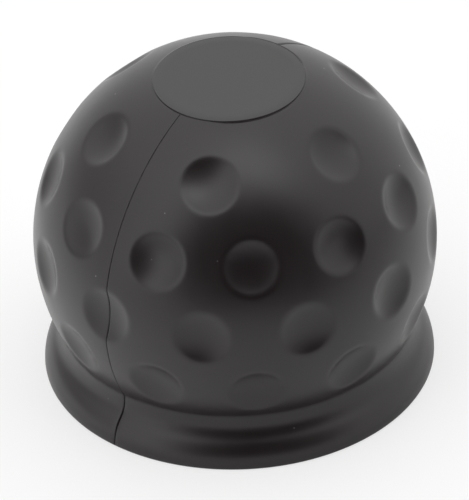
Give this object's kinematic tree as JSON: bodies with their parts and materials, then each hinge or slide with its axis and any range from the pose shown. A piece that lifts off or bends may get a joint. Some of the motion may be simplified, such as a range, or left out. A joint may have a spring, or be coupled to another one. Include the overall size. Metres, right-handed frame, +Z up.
{
  "type": "tow ball cover",
  "caption": "Soft one-piece cap for a tow ball: dimpled dome with a flat round pad on top, creased waist and flared skirt, open below with a lip that grips the ball.",
  "frame": {"origin": "centre of the base, on the plane the cap stands on", "axes": "+Z up along the cap's axis, out of the flat pad; the mould's parting plane is X = 0, so a dimple of the second row up lies on +X and on +Y"},
  "size_m": [0.0618, 0.0618, 0.0514],
  "materials": {
    "soft_rubber": "satin charcoal black, as moulded"
  },
  "bodies": {
    "root": {"cover": "soft_rubber"}
  },
  "joints": []
}
